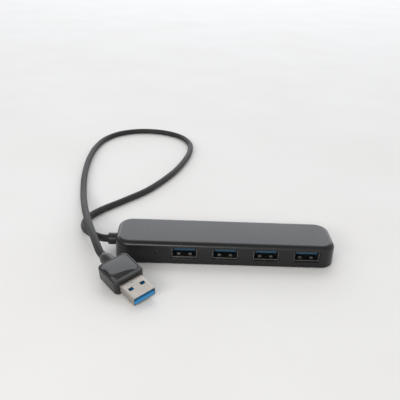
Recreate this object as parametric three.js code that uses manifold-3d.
// USB hub: a slim four-port USB 3.0 hub with a captive lead that ends in a USB-A plug.
// Millimetres. X runs along the hub, Y from its port face to its back, and Z up.
// The origin is the middle of the underside.
import * as THREE from 'three';
import { mergeVertices } from 'three/addons/utils/BufferGeometryUtils.js';
import Module from 'manifold-3d';

const wasm = await Module();
wasm.setup();

// ---- driving dimensions -------------------------------------------------------------------

const HUB = { length: 114.2, width: 29, height: 12.3, corner: 7.9, topRound: 2.7, footRound: 1.2 };
const WALL = 1.8;
const CEILING = 1.5;
const COVER = { thickness: 1.4, gap: 0.15 };
const BOARD = { inset: 2.25, bottom: 2.1, thickness: 1.2 };
const SOLDER = 0.1;

// Four USB-A sockets in a row in the front face.
const PORT = { count: 4, firstX: -21.3, pitch: 21.1, width: 13.1, height: 5.7, depth: 14, recess: 1.4 };
const SHEET = 0.3;
const CUTOUT_GAP = 0.1;
const TONGUE = { width: 11.1, thickness: 1.84, belowTop: 0.85, tipBack: 0.9, block: 4.6 };
const CONTACT = { width: 0.9, thickness: 0.2, spots: [-3.5, -1, 1, 3.5] };

const LIGHT = { x: -35.4, z: 6.6, hole: 1.4, pipe: 1.2, recess: 0.9 };

// The lead leaves the left end on this height.
const LEAD = { diameter: 4, height: 6.2, gap: 0.3 };
const RELIEF = { reach: 4.75, collar: 6.2, waist: 5.2, flange: 6.8, flangeDepth: 1.2 };

// The plug lies nose down on the surface, rolled onto its left edge by the twist of the lead.
const PLUG = {
  tip: [-38.82, -49.71, 3.39],
  yaw: -50.2,
  pitch: 8.04,
  roll: 10.45,
  shellWidth: 12,
  shellHeight: 4.5,
  shellOut: 11.5,
  shellIn: 1.2,
  bodyLength: 16.4,
  bodyWidth: 16.4,
  bodyHeight: 7.8,
  neckLength: 7.6,
  neckBase: 7.2,
  neckEnd: 4.8,
  tongueTop: -0.05,
};

// Points along the middle of the lead, from the hub's collar to the plug's neck. It drops to the
// surface, turns back beside the hub, runs out in one loose loop, and comes home over itself.
const LEAD_ROUTE = [
  [-62.15, 0, 6.2],
  [-63.6, 0.05, 6.2],
  [-66.2, 0.95, 6.1],
  [-68.7, 2.9, 5.8],
  [-71.3, 5.9, 5.25],
  [-74, 9.8, 4.5],
  [-76.7, 14.7, 3.6],
  [-78.5, 21, 2.75],
  [-78.9, 27.9, 2.25],
  [-77.3, 34.7, 2.1],
  [-73.5, 41.4, 2.1],
  [-68.4, 48.1, 2.1],
  [-62.3, 55.25, 2.1],
  [-48.5, 72.75, 2.1],
  [-42, 83.75, 2.1],
  [-35.5, 97.25, 2.1],
  [-29, 113.25, 2.1],
  [-23.2, 133.25, 2.1],
  [-19.3, 154.25, 2.1],
  [-19.5, 174.25, 2.1],
  [-27.5, 191.75, 2.1],
  [-43, 202.25, 2.1],
  [-61.5, 203.25, 2.1],
  [-78, 194.75, 2.1],
  [-88.5, 178.25, 2.1],
  [-93, 157.25, 2.1],
  [-94, 135.25, 2.1],
  [-93.1, 113.25, 2.1],
  [-90.9, 91.25, 2.1],
  [-87.6, 70.25, 2.3],
  [-84.6, 54.25, 3.7],
  [-81.3, 39.25, 5.4],
  [-77.9, 25.25, 7.2],
  [-74.4, 12.2, 9],
  [-71.2, 1.4, 10],
  [-68.2, -7.6, 10.25],
  [-65.4, -15.4, 9.75],
  [-63.6, -19.5, 9],
  [-62.27, -21.57, 8.57],
  [-61.51, -22.48, 8.4],
];

// ---- materials ----------------------------------------------------------------------------

const finish = (color, roughness, metalness) =>
  new THREE.MeshStandardMaterial({ color, roughness, metalness });

const FINISH = {
  softBlack: finish('#2c2c2e', 0.5, 0),
  glossBlack: finish('#101013', 0.12, 0),
  leadBlack: finish('#2e2e2e', 0.6, 0),
  nickel: finish('#b9b5ac', 0.3, 1),
  plugBlue: finish('#2c74b8', 0.4, 0),
  portBlue: finish('#1d4d78', 0.45, 0),
  gold: finish('#c9a24d', 0.3, 1),
  board: finish('#0f5a33', 0.5, 0),
  chip: finish('#1a1a1c', 0.6, 0),
  steel: finish('#a8abae', 0.35, 1),
  ceramic: finish('#9a7a55', 0.6, 0),
  clear: finish('#e6ebee', 0.1, 0),
  lamp: finish('#d9e4d0', 0.3, 0),
};

const WIRE_FINISH = {
  power: finish('#b3261e', 0.5, 0),
  ground: finish('#151515', 0.5, 0),
  data_minus: finish('#e8e6e0', 0.5, 0),
  data_plus: finish('#2f7d3b', 0.5, 0),
  fast_out: finish('#2b5cab', 0.5, 0),
  fast_in: finish('#d07a1f', 0.5, 0),
};

// ---- solids -------------------------------------------------------------------------------

// Points and triangles alone, each corner held once.
function bare(geometry) {
  const copy = geometry.clone();
  copy.deleteAttribute('normal');
  copy.deleteAttribute('uv');
  return mergeVertices(copy, 1e-4);
}

function toSolid(geometry) {
  const merged = bare(geometry);
  const corners = merged.index.array;
  const kept = [];
  for (let i = 0; i < corners.length; i += 3) {
    const [a, b, c] = corners.slice(i, i + 3);
    if (a !== b && b !== c && c !== a) kept.push(a, b, c);
  }
  const mesh = new wasm.Mesh({
    numProp: 3,
    vertProperties: new Float32Array(merged.attributes.position.array),
    triVerts: new Uint32Array(kept),
  });
  return new wasm.Manifold(mesh);
}

function toGeometry(solid) {
  const mesh = solid.getMesh();
  const geometry = new THREE.BufferGeometry();
  geometry.setAttribute('position', new THREE.BufferAttribute(mesh.vertProperties, 3));
  geometry.setIndex(new THREE.BufferAttribute(mesh.triVerts, 1));
  geometry.computeVertexNormals();
  return geometry;
}

function join(...geometries) {
  return toGeometry(geometries.map(toSolid).reduce((whole, next) => whole.add(next)));
}

function cut(geometry, tools) {
  return toGeometry(tools.map(toSolid).reduce((left, tool) => left.subtract(tool), toSolid(geometry)));
}

function box([x0, x1], [y0, y1], [z0, z1]) {
  const geometry = new THREE.BoxGeometry(x1 - x0, y1 - y0, z1 - z0);
  return geometry.translate((x0 + x1) / 2, (y0 + y1) / 2, (z0 + z1) / 2);
}

// The range of a size centred on a place.
const about = (middle, size) => [middle - size / 2, middle + size / 2];

function post(x, y, diameter, [z0, z1], sides = 16) {
  const geometry = new THREE.CylinderGeometry(diameter / 2, diameter / 2, z1 - z0, sides);
  return geometry.rotateX(Math.PI / 2).translate(x, y, (z0 + z1) / 2);
}

// A rectangle with round corners, centred on the origin.
function roundedRectangle(length, width, corner) {
  const x = length / 2 - corner;
  const y = width / 2 - corner;
  const shape = new THREE.Shape();
  shape.absarc(x, y, corner, 0, Math.PI / 2);
  shape.absarc(-x, y, corner, Math.PI / 2, Math.PI);
  shape.absarc(-x, -y, corner, Math.PI, 1.5 * Math.PI);
  shape.absarc(x, -y, corner, 1.5 * Math.PI, 2 * Math.PI);
  return shape;
}

function plate(shape, [z0, z1], curveSegments = 5) {
  const settings = { depth: z1 - z0, bevelEnabled: false, curveSegments };
  return new THREE.ExtrudeGeometry(shape, settings).translate(0, 0, z0);
}

// A closed solid through rounded rectangles at rising heights. Each level is drawn in from the
// full outline by its inset.
function stack({ length, width, corner }, levels, curveSegments = 6) {
  const rings = levels.map(({ inset, z }) => {
    const shape = roundedRectangle(length - 2 * inset, width - 2 * inset, corner - inset);
    const ring = shape.getPoints(curveSegments).slice(0, -1);
    return ring.map((point) => new THREE.Vector3(point.x, point.y, z));
  });
  const sides = rings[0].length;
  const lastRing = (rings.length - 1) * sides;
  const faces = [];
  for (let start = 0; start < lastRing; start += sides) {
    for (let i = 0; i < sides; i += 1) {
      const next = (i + 1) % sides;
      faces.push(start + i, start + next, start + next + sides);
      faces.push(start + i, start + next + sides, start + i + sides);
    }
  }
  for (let i = 1; i + 1 < sides; i += 1) {
    faces.push(0, i + 1, i);
    faces.push(lastRing, lastRing + i, lastRing + i + 1);
  }
  const geometry = new THREE.BufferGeometry().setFromPoints(rings.flat());
  return geometry.setIndex(faces);
}

// The levels of a quarter-round edge: up and inwards at the top of a solid, or out at its foot.
function topRound(radius, z, steps, inset = 0) {
  return Array.from({ length: steps + 1 }, (_, i) => {
    const angle = (i / steps) * (Math.PI / 2);
    return { inset: inset + radius * (1 - Math.cos(angle)), z: z - radius * (1 - Math.sin(angle)) };
  });
}

function footRound(radius, z, steps, inset = 0) {
  const upsideDown = topRound(radius, -z, steps, inset).reverse();
  return upsideDown.map((level) => ({ inset: level.inset, z: -level.z }));
}

// A round solid from [radius, distance] steps, pointing along -X from the origin.
function turned(profile, sides) {
  const points = profile.map(([radius, distance]) => new THREE.Vector2(radius, distance));
  return new THREE.LatheGeometry(points, sides).rotateZ(Math.PI / 2);
}

// A round tube along a curve.
function tube(curve, diameter, sides, steps) {
  const section = new THREE.Shape(
    Array.from({ length: sides }, (_, i) => {
      const angle = ((i + 0.5) / sides) * 2 * Math.PI;
      return new THREE.Vector2(Math.cos(angle), Math.sin(angle)).multiplyScalar(diameter / 2);
    }),
  );
  return new THREE.ExtrudeGeometry(section, { steps, bevelEnabled: false, extrudePath: curve });
}

const hub = new THREE.Group();

function add(name, geometry, material, parent = hub) {
  const mesh = new THREE.Mesh(geometry, material);
  mesh.name = name;
  parent.add(mesh);
}

// ---- housing and bottom cover -------------------------------------------------------------

const front = -HUB.width / 2;
const portXs = Array.from({ length: PORT.count }, (_, i) => PORT.firstX + i * PORT.pitch);
const boardTop = BOARD.bottom + BOARD.thickness;
const portBottom = boardTop + 3 * SOLDER;
const portMiddle = portBottom + PORT.height / 2;

// The cover's snap hooks: three between the ports, four along the back.
const HOOK = { width: 4.5, thickness: 1, top: 5.8, barb: 0.5, barbHeight: 1, wallGap: 0.1 };
const HOOK_SPOTS = [
  ...portXs.slice(0, -1).map((x) => ({ x: x + PORT.pitch / 2, side: -1 })),
  ...[-42, -14, 14, 42].map((x) => ({ x, side: 1 })),
];
const innerFace = HUB.width / 2 - WALL;

// Posts in the housing press the board down onto matching pads on the bottom cover.
const BOARD_POSTS = [
  [-47, 9],
  [-44, -9],
  [51, -7],
  [48, 9],
];

function hookPocket({ x, side }) {
  const reach = [innerFace - 0.5, innerFace + HOOK.barb + 0.2];
  const y = side > 0 ? reach : reach.map((v) => -v).reverse();
  const z = [HOOK.top - HOOK.barbHeight - 0.2, HOOK.top + 0.2];
  return box(about(x, HOOK.width + 0.6), y, z);
}

function hook({ x, side }) {
  const outer = innerFace - HOOK.wallGap;
  const outline = new THREE.Shape([
    new THREE.Vector2(outer - HOOK.thickness, COVER.thickness - 0.2),
    new THREE.Vector2(outer, COVER.thickness - 0.2),
    new THREE.Vector2(outer, HOOK.top - HOOK.barbHeight),
    new THREE.Vector2(outer + HOOK.barb, HOOK.top - HOOK.barbHeight),
    new THREE.Vector2(outer, HOOK.top),
    new THREE.Vector2(outer - HOOK.thickness, HOOK.top),
  ]);
  const geometry = new THREE.ExtrudeGeometry(outline, { depth: HOOK.width, bevelEnabled: false });
  geometry.translate(0, 0, -HOOK.width / 2).rotateX(Math.PI / 2).rotateZ(Math.PI / 2);
  if (side < 0) geometry.rotateZ(Math.PI);
  return geometry.translate(x, 0, 0);
}

function portCutout(x) {
  const width = PORT.width + 2 * CUTOUT_GAP;
  const height = PORT.height + 2 * CUTOUT_GAP;
  return box(about(x, width), [front - 1, front + WALL + 1], about(portMiddle, height));
}

function housing() {
  const outside = stack(HUB, [
    ...footRound(HUB.footRound, 0, 3),
    ...topRound(HUB.topRound, HUB.height, 5),
  ]);
  const inside = stack(HUB, [
    { inset: WALL, z: -1 },
    ...topRound(1.2, HUB.height - CEILING, 2, WALL),
  ]);
  const pinHole = new THREE.CylinderGeometry(LIGHT.hole / 2, LIGHT.hole / 2, 2 * WALL, 16);
  pinHole.translate(LIGHT.x, front + WALL / 2, LIGHT.z);
  const inlet = new THREE.CylinderGeometry(RELIEF.waist / 2 + 0.3, RELIEF.waist / 2 + 0.3, 2 * WALL, 20);
  inlet.rotateZ(Math.PI / 2).translate(-HUB.length / 2 + WALL / 2, 0, LEAD.height);
  const cutouts = portXs.map(portCutout);
  const pockets = HOOK_SPOTS.map(hookPocket);
  const hollow = cut(outside, [inside, pinHole, inlet, ...cutouts, ...pockets]);
  const presses = BOARD_POSTS.map(([x, y]) => post(x, y, 3, [boardTop + 0.2, HUB.height - CEILING + 0.3]));
  return join(hollow, ...presses);
}

function bottomCover() {
  const outline = { length: HUB.length, width: HUB.width, corner: HUB.corner };
  const edge = WALL + COVER.gap;
  const lid = stack(outline, [
    { inset: edge + 0.3, z: 0 },
    { inset: edge, z: 0.3 },
    { inset: edge, z: COVER.thickness },
  ]);
  const pads = BOARD_POSTS.map(([x, y]) => post(x, y, 4, [COVER.thickness - 0.2, BOARD.bottom - 0.1]));
  return join(lid, ...pads, ...HOOK_SPOTS.map(hook));
}

add('housing', housing(), FINISH.softBlack);
add('bottom_cover', bottomCover(), FINISH.softBlack);

// ---- circuit board and what is on it ------------------------------------------------------

function circuitBoard() {
  const length = HUB.length - 2 * BOARD.inset;
  const width = HUB.width - 2 * BOARD.inset;
  const outline = roundedRectangle(length, width, HUB.corner - BOARD.inset);
  const blank = plate(outline, [BOARD.bottom, boardTop]);
  const edge = width / 2;
  const hookNotches = HOOK_SPOTS.map(({ x, side }) =>
    box(about(x, HOOK.width + 1), about(side * edge, 2.4), [BOARD.bottom - 1, boardTop + 1]),
  );
  const leadNotch = box([-length / 2 - 1, -length / 2 + 3], about(0, 8), [BOARD.bottom - 1, boardTop + 1]);
  return cut(blank, [...hookNotches, leadNotch]);
}

// A plain block standing on the board.
function onBoard([x, y], [length, width, height]) {
  const base = boardTop + SOLDER;
  return box(about(x, length), about(y, width), [base, base + height]);
}

// A quartz crystal's can: a low block with round ends on a wider foot.
function crystalCan(x, y) {
  const base = boardTop + SOLDER;
  const foot = plate(roundedRectangle(11.2, 4.8, 2.3), [base, base + 0.6]);
  const can = plate(roundedRectangle(10.2, 3.8, 1.8), [base + 0.5, base + 3.8]);
  return join(foot, can).translate(x, y, 0);
}

// A small round capacitor can on a square base.
function bulkCapacitor(x, y) {
  const base = boardTop + SOLDER;
  const foot = box(about(x, 4.3), about(y, 4.3), [base, base + 0.8]);
  return join(foot, post(x, y, 4, [base + 0.7, base + 5.2], 20));
}

// The regulator's block with its wide cooling tab at the back.
function regulator(x, y) {
  const block = onBoard([x, y], [6.5, 3.5, 1.6]);
  const tab = onBoard([x, y + 2.2], [3, 1.8, 0.3]);
  return join(block, tab);
}

// The light pipe rises over the status light and turns forward into the pin hole.
function lightPipe() {
  const reach = 3.4;
  const spigot = new THREE.CylinderGeometry(LIGHT.pipe / 2, LIGHT.pipe / 2, reach, 12);
  spigot.translate(LIGHT.x, front + LIGHT.recess + reach / 2, LIGHT.z);
  const backOfSpigot = front + LIGHT.recess + reach;
  const legDepth = [backOfSpigot - 1.6, backOfSpigot + 0.4];
  const leg = box(about(LIGHT.x, 2), legDepth, [boardTop + 1.1, LIGHT.z + 1]);
  return join(spigot, leg);
}

add('circuit_board', circuitBoard(), FINISH.board);
add('hub_controller', onBoard([-8, 7], [7, 7, 0.85]), FINISH.chip);
add('crystal', crystalCan(6, 8), FINISH.steel);
add('voltage_regulator', regulator(-28, 7), FINISH.chip);
add('bulk_capacitor', bulkCapacitor(-38, 8), FINISH.steel);
add('status_light', onBoard([LIGHT.x, front + 3.6], [2, 1.25, 0.8]), FINISH.lamp);
add('light_pipe', lightPipe(), FINISH.clear);
[-18, -15.2, 20, 30].forEach((x, i) => {
  add(`ceramic_capacitor_${i + 1}`, onBoard([x, 7.5], [1.25, 2, 1.2]), FINISH.ceramic);
});

// ---- ports --------------------------------------------------------------------------------

const shellFront = front + PORT.recess;
const shellBack = shellFront + PORT.depth;
const tongueTop = portBottom + PORT.height - SHEET - TONGUE.belowTop + 0.3;
const tongueBottom = tongueTop - TONGUE.thickness;

// A folded sheet socket, open at the front, with two spring windows in its top and its floor.
function portShell(x) {
  const outline = roundedRectangle(PORT.width, PORT.height, 0.6);
  outline.holes.push(roundedRectangle(PORT.width - 2 * SHEET, PORT.height - 2 * SHEET, 0.3));
  const walls = plate(outline, [0, PORT.depth], 2);
  walls.rotateX(Math.PI / 2).translate(x, shellBack, portMiddle);
  const inner = PORT.width - SHEET;
  const back = box(about(x, inner), [shellBack - SHEET, shellBack], about(portMiddle, PORT.height - SHEET));
  const windows = [-3, 3].map((side) =>
    box(about(x + side, 2.2), [shellFront + 3, shellFront + 8], about(portMiddle, PORT.height + 2)),
  );
  return cut(join(walls, back), windows);
}

// The blue insulator: a block across the back of the socket and the tongue that runs forward.
function portInsulator(x) {
  const blockFront = shellBack - SHEET - 0.2 - TONGUE.block;
  const block = box(
    about(x, PORT.width - 2 * SHEET - 0.3),
    [blockFront, shellBack - SHEET - 0.2],
    about(portMiddle, PORT.height - 2 * SHEET - 0.3),
  );
  const tongue = box(
    about(x, TONGUE.width),
    [shellFront + TONGUE.tipBack, blockFront + 0.5],
    [tongueBottom, tongueTop],
  );
  return join(block, tongue);
}

// A spring contact under the tongue, bowed down where the plug's contact slides on it.
function portContact(x) {
  const top = tongueBottom - 0.1;
  const tip = shellFront + TONGUE.tipBack + 0.8;
  const root = shellBack - SHEET - TONGUE.block - 0.4;
  const bow = 0.6;
  const t = CONTACT.thickness;
  const outline = new THREE.Shape([
    new THREE.Vector2(tip, top),
    new THREE.Vector2(tip, top - t),
    new THREE.Vector2(tip + 1.4, top - t - bow),
    new THREE.Vector2(tip + 2.2, top - t - bow),
    new THREE.Vector2(root, top - t),
    new THREE.Vector2(root, top),
    new THREE.Vector2(tip + 2.2, top - bow),
    new THREE.Vector2(tip + 1.4, top - bow),
  ]);
  const geometry = new THREE.ExtrudeGeometry(outline, { depth: CONTACT.width, bevelEnabled: false });
  geometry.translate(0, 0, -CONTACT.width / 2).rotateX(Math.PI / 2).rotateZ(Math.PI / 2);
  return geometry.translate(x, 0, 0);
}

portXs.forEach((x, port) => {
  const name = `port_${port + 1}`;
  add(`${name}_shell`, portShell(x), FINISH.nickel);
  add(`${name}_insulator`, portInsulator(x), FINISH.portBlue);
  CONTACT.spots.forEach((spot, i) => {
    add(`${name}_contact_${i + 1}`, portContact(x + spot), FINISH.gold);
  });
});

// ---- lead, strain relief and wires --------------------------------------------------------

// One moulding: a collar outside, a waist through the wall and a flange inside.
function strainRelief() {
  const profile = [
    [0, -WALL - RELIEF.flangeDepth - 0.3],
    [RELIEF.flange / 2, -WALL - RELIEF.flangeDepth - 0.3],
    [RELIEF.flange / 2, -WALL - 0.3],
    [RELIEF.waist / 2, -WALL - 0.3],
    [RELIEF.waist / 2, 0.3],
    [RELIEF.collar / 2, 0.3],
    [RELIEF.collar / 2, RELIEF.reach - 0.4],
    [RELIEF.collar / 2 - 0.4, RELIEF.reach],
    [0, RELIEF.reach],
  ];
  return turned(profile, 20).translate(-HUB.length / 2, 0, LEAD.height);
}

const leadCurve = new THREE.CatmullRomCurve3(LEAD_ROUTE.map((point) => new THREE.Vector3(...point)));

// Each wire runs from the strain relief, over the end of the board, to its own solder pad.
function wire(row) {
  const fan = row - (Object.keys(WIRE_FINISH).length - 1) / 2;
  const start = -HUB.length / 2 + WALL + RELIEF.flangeDepth + 0.7;
  const curve = new THREE.CatmullRomCurve3([
    new THREE.Vector3(start, fan * 0.95, LEAD.height),
    new THREE.Vector3(start + 1.5, fan * 1.05, LEAD.height),
    new THREE.Vector3(start + 4, fan * 1.5, boardTop + 1.2),
    new THREE.Vector3(start + 6, fan * 1.7, boardTop + 0.6),
  ]);
  return tube(curve, 0.8, 8, 6);
}

add('hub_strain_relief', strainRelief(), FINISH.softBlack);
add('lead', tube(leadCurve, LEAD.diameter, 10, 60), FINISH.leadBlack);
Object.entries(WIRE_FINISH).forEach(([name, material], row) => {
  add(`wire_${name}`, wire(row), material);
});

// ---- plug ---------------------------------------------------------------------------------

const plug = new THREE.Group();
plug.position.set(...PLUG.tip);
plug.rotation.set(
  THREE.MathUtils.degToRad(PLUG.roll),
  THREE.MathUtils.degToRad(PLUG.pitch),
  THREE.MathUtils.degToRad(PLUG.yaw),
  'ZYX',
);
hub.add(plug);

// In the plug's own frame +X points out of its open end, and the origin is the middle of that end.
const bodyFront = -PLUG.shellOut;
const bodyBack = bodyFront - PLUG.bodyLength;
const bodyMiddle = (bodyFront + bodyBack) / 2;
const PANEL = { length: 12.6, width: 14.2, corner: 2.2, back: 0.8, depth: 0.9, rise: 0.45, gap: 0.3 };
const panelX = bodyMiddle - PANEL.back;

function plugBody() {
  const outline = { length: PLUG.bodyLength, width: PLUG.bodyWidth, corner: 2.3 };
  const half = PLUG.bodyHeight / 2;
  const block = stack(outline, [...footRound(1.2, -half, 3), ...topRound(0.8, half, 3)], 4);
  block.translate(bodyMiddle, 0, 0);
  const neck = turned(
    [
      [0, -1],
      [PLUG.neckBase / 2, -1],
      [PLUG.neckBase / 2, 1],
      [PLUG.neckBase / 2 - 0.3, 3.4],
      [PLUG.neckEnd / 2 + 0.5, 6],
      [PLUG.neckEnd / 2 + 0.2, 7.1],
      [PLUG.neckEnd / 2 - 0.2, PLUG.neckLength],
      [0, PLUG.neckLength],
    ],
    20,
  );
  neck.translate(bodyBack, 0, 0);
  const recessOutline = roundedRectangle(
    PANEL.length + 2 * PANEL.gap,
    PANEL.width + 2 * PANEL.gap,
    PANEL.corner + PANEL.gap,
  );
  const recess = plate(recessOutline, [half - PANEL.depth, half + 1]).translate(panelX, 0, 0);
  const shellPocket = box(
    [bodyFront - PLUG.shellIn - 0.3, bodyFront + 1],
    about(0, PLUG.shellWidth + 0.6),
    about(0, PLUG.shellHeight + 0.6),
  );
  return cut(join(block, neck), [recess, shellPocket]);
}

// The glossy panel is gently domed.
function plugPanel() {
  const base = PLUG.bodyHeight / 2 - PANEL.depth + PANEL.gap;
  const edge = PLUG.bodyHeight / 2;
  const panel = stack(
    PANEL,
    [
      { inset: 0, z: base },
      { inset: 0, z: edge - 0.1 },
      { inset: 0.5, z: edge + 0.6 * PANEL.rise },
      { inset: 2, z: edge + PANEL.rise },
    ],
    4,
  );
  return panel.translate(panelX, 0, 0);
}

// Folded sheet, with two latch windows in each broad side.
function plugShell() {
  const outline = roundedRectangle(PLUG.shellHeight, PLUG.shellWidth, 0.5);
  outline.holes.push(roundedRectangle(PLUG.shellHeight - 2 * SHEET, PLUG.shellWidth - 2 * SHEET, 0.25));
  const tubeLength = PLUG.shellOut + PLUG.shellIn;
  const sleeve = plate(outline, [0, tubeLength], 2).rotateY(-Math.PI / 2);
  const windows = [-3.15, 3.15].map((y) => box(about(-6.15, 2), about(y, 2.4), about(0, 10)));
  return cut(sleeve, windows);
}

// The blue insulator fills the lower half of the shell and all of its root.
function plugInsulator() {
  const width = PLUG.shellWidth - 2 * SHEET - 0.6;
  const floor = -PLUG.shellHeight / 2 + SHEET + 0.1;
  const root = box(
    [bodyFront - PLUG.shellIn, bodyFront + 2],
    about(0, width),
    [floor, PLUG.shellHeight / 2 - SHEET - 0.1],
  );
  const tongue = box([bodyFront + 1, -0.5], about(0, width), [floor, PLUG.tongueTop]);
  return join(root, tongue);
}

add('plug_body', plugBody(), FINISH.softBlack, plug);
add('plug_panel', plugPanel(), FINISH.glossBlack, plug);
add('plug_shell', plugShell(), FINISH.nickel, plug);
add('plug_insulator', plugInsulator(), FINISH.plugBlue, plug);
CONTACT.spots.forEach((y, i) => {
  const bottom = PLUG.tongueTop + 0.1;
  const strip = box([bodyFront + 2.3, -1.6], about(y, 1), [bottom, bottom + CONTACT.thickness]);
  add(`plug_contact_${i + 1}`, strip, FINISH.gold, plug);
});

export default hub;
